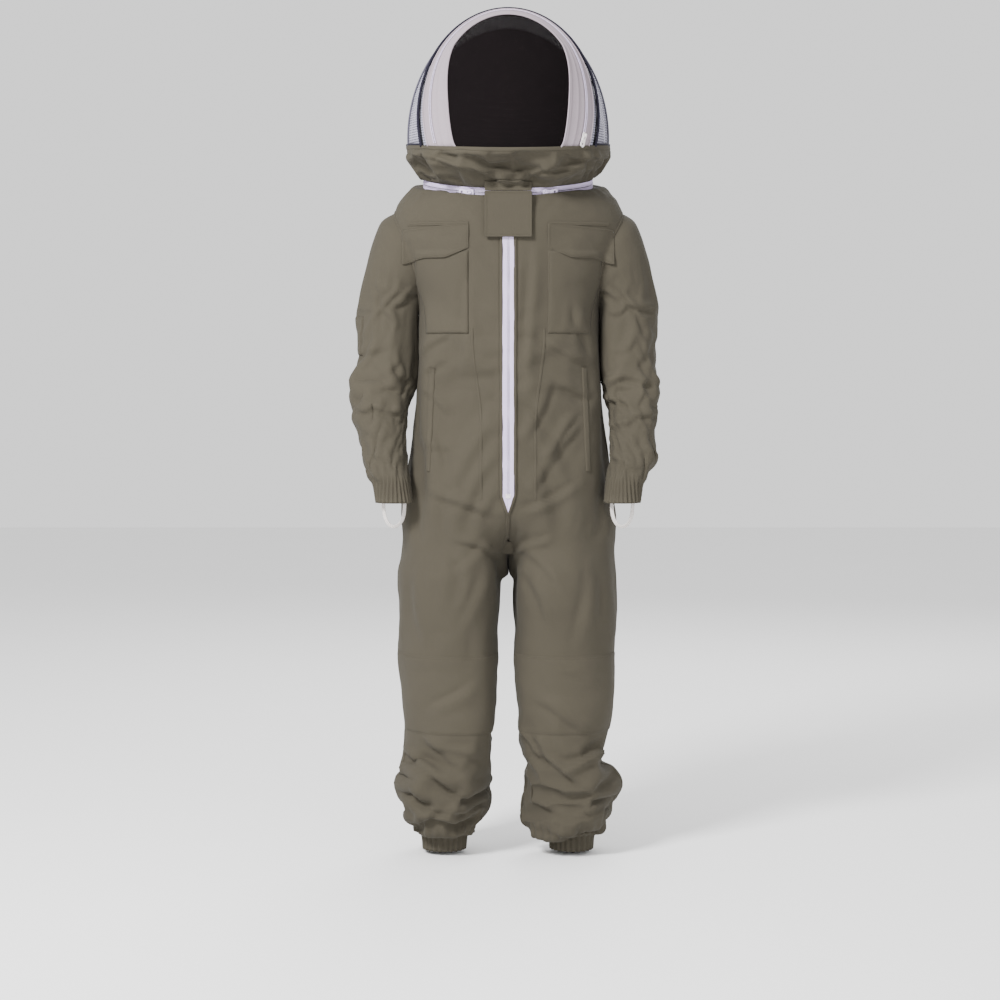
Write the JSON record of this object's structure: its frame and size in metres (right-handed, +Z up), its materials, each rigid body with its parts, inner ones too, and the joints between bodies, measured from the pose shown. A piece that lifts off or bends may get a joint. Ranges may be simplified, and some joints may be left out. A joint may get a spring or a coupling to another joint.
{
  "type": "beekeeping suit",
  "caption": "One-piece hooded beekeeping suit with a fencing-style mesh veil, front and neck zips, chest pockets, knee patches and elasticated cuffs and ankles.",
  "frame": {"origin": "middle of the shoulder line, where a wearer, mannequin or hanger carries the suit", "axes": "+Z up, +X to the wearer's left, -Y to the front"},
  "size_m": [0.588, 0.376, 1.5716],
  "materials": {
    "khaki_cotton": "woven cotton twill",
    "white_zip_tape": "woven zip tape",
    "white_zip_teeth": "moulded coil",
    "white_binding": "bound cloth",
    "black_mesh": "open net",
    "white_mesh": "open spacer net",
    "black_hoop": "covered spring hoop",
    "white_metal": "white enamel",
    "hook_and_loop": "hook and loop tape",
    "white_elastic": "woven elastic"
  },
  "bodies": {
    "suit": {"front_panel_left": "khaki_cotton", "front_panel_right": "khaki_cotton", "back_panel": "khaki_cotton", "back_yoke": "khaki_cotton", "shoulder_left": "khaki_cotton", "shoulder_right": "khaki_cotton", "thigh_left": "khaki_cotton", "thigh_right": "khaki_cotton", "front_zip_tape": "white_zip_tape", "front_zip_teeth": "white_zip_teeth", "front_zip_stop": "white_zip_teeth", "neck_zip_tape_lower": "white_zip_tape", "neck_zip_teeth_lower": "white_zip_teeth", "chest_pocket_left": "khaki_cotton", "chest_pocket_right": "khaki_cotton", "flap_header": "khaki_cotton", "hip_pocket_welt": "khaki_cotton", "waist_elastic": "white_elastic", "throat_hook_tape": "hook_and_loop"},
    "hood": {"hood_skirt": "khaki_cotton", "neck_zip_tape_upper": "white_zip_tape", "neck_zip_teeth_upper": "white_zip_teeth", "hood_face_mesh": "black_mesh", "hood_arch_band_front": "white_binding", "hood_arch_band_rear": "white_binding", "hood_zip_teeth": "white_zip_teeth", "hood_side_mesh_left": "white_mesh", "hood_side_mesh_right": "white_mesh", "hood_back_panel": "khaki_cotton", "hood_hoop_front": "black_hoop", "hood_hoop_rear": "black_hoop", "hood_rim_hoop": "black_hoop", "throat_patch_header": "khaki_cotton"},
    "throat_patch": {"throat_patch": "khaki_cotton", "throat_loop_tape": "hook_and_loop"},
    "front_zip_slider": {"front_zip_slider": "white_metal", "front_zip_pull": "white_metal"},
    "hood_zip_slider": {"hood_zip_slider": "white_metal"},
    "hood_zip_pull": {"hood_zip_pull": "white_metal"},
    "neck_zip_slider_left": {"neck_zip_slider_left": "white_metal"},
    "neck_zip_pull_left": {"neck_zip_pull_left": "white_metal"},
    "pocket_flap_left": {"pocket_flap_left": "khaki_cotton"},
    "sleeve_left": {"sleeve_left": "khaki_cotton", "cuff_left": "khaki_cotton", "thumb_loop_left": "white_elastic"},
    "leg_left": {"leg_left": "khaki_cotton", "ankle_cuff_left": "khaki_cotton", "knee_patch_left": "khaki_cotton"},
    "neck_zip_slider_right": {"neck_zip_slider_right": "white_metal"},
    "neck_zip_pull_right": {"neck_zip_pull_right": "white_metal"},
    "pocket_flap_right": {"pocket_flap_right": "khaki_cotton"},
    "sleeve_right": {"sleeve_right": "khaki_cotton", "cuff_right": "khaki_cotton", "thumb_loop_right": "white_elastic", "sleeve_pocket": "khaki_cotton"},
    "leg_right": {"leg_right": "khaki_cotton", "ankle_cuff_right": "khaki_cotton", "knee_patch_right": "khaki_cotton"}
  },
  "joints": [
    {"name": "hood_tilt", "type": "hinge", "parent": "suit", "child": "hood", "pos_m": [0, 0.12312, 0.05344], "axis": [-1, 0, 0], "range_deg": [0, 95]},
    {"name": "throat_patch_lift", "type": "hinge", "parent": "hood", "child": "throat_patch", "pos_m": [0, -0.141, 0.0036], "axis": [-1, 0, 0], "range_deg": [0, 100]},
    {"name": "front_zip", "type": "slide", "parent": "suit", "child": "front_zip_slider", "axis": [0, 0, -1], "range_m": [0, 0.5]},
    {"name": "neck_zip_left", "type": "hinge", "parent": "suit", "child": "neck_zip_slider_left", "pos_m": [0, 0.03606, 0.03494], "axis": [0, -0.2079, 0.9781], "range_deg": [0, 30]},
    {"name": "neck_zip_pull_left_swing", "type": "hinge", "parent": "neck_zip_slider_left", "child": "neck_zip_pull_left", "pos_m": [0.06943, -0.12129, 0.00149], "axis": [0, 0.2079, -0.9781], "range_deg": [0, 150]},
    {"name": "neck_zip_right", "type": "hinge", "parent": "suit", "child": "neck_zip_slider_right", "pos_m": [0, 0.03606, 0.03494], "axis": [0, 0.2079, -0.9781], "range_deg": [0, 30]},
    {"name": "neck_zip_pull_right_swing", "type": "hinge", "parent": "neck_zip_slider_right", "child": "neck_zip_pull_right", "pos_m": [-0.06943, -0.12129, 0.00149], "axis": [0, -0.2079, 0.9781], "range_deg": [0, 150]},
    {"name": "hood_zip", "type": "slide", "parent": "hood", "child": "hood_zip_slider", "axis": [0.3141, 0.3216, 0.8933], "range_m": [0, 0.03]},
    {"name": "hood_zip_pull_swing", "type": "hinge", "parent": "hood_zip_slider", "child": "hood_zip_pull", "pos_m": [0.13913, -0.14963, 0.10079], "axis": [-0.6242, -0.639, 0.4495], "range_deg": [0, 150]},
    {"name": "pocket_flap_left_lift", "type": "hinge", "parent": "suit", "child": "pocket_flap_left", "pos_m": [0.1264, -0.1206, -0.05815], "axis": [-0.9355, -0.3534, 0], "range_deg": [0, 120]},
    {"name": "shoulder_left_raise", "type": "hinge", "parent": "suit", "child": "sleeve_left", "pos_m": [0.185, 0, -0.075], "axis": [0, -1, 0], "range_deg": [0, 60], "deforming": ["shoulder_left"]},
    {"name": "hip_left_bend", "type": "hinge", "parent": "suit", "child": "leg_left", "pos_m": [0.113, 0, -0.64], "axis": [-1, 0, 0], "range_deg": [0, 90], "deforming": ["thigh_left"]},
    {"name": "pocket_flap_right_lift", "type": "hinge", "parent": "suit", "child": "pocket_flap_right", "pos_m": [-0.1264, -0.1206, -0.05815], "axis": [-0.9355, 0.3534, 0], "range_deg": [0, 120]},
    {"name": "shoulder_right_raise", "type": "hinge", "parent": "suit", "child": "sleeve_right", "pos_m": [-0.185, 0, -0.075], "axis": [0, 1, 0], "range_deg": [0, 60], "deforming": ["shoulder_right"]},
    {"name": "hip_right_bend", "type": "hinge", "parent": "suit", "child": "leg_right", "pos_m": [-0.113, 0, -0.64], "axis": [-1, 0, 0], "range_deg": [0, 90], "deforming": ["thigh_right"]}
  ]
}
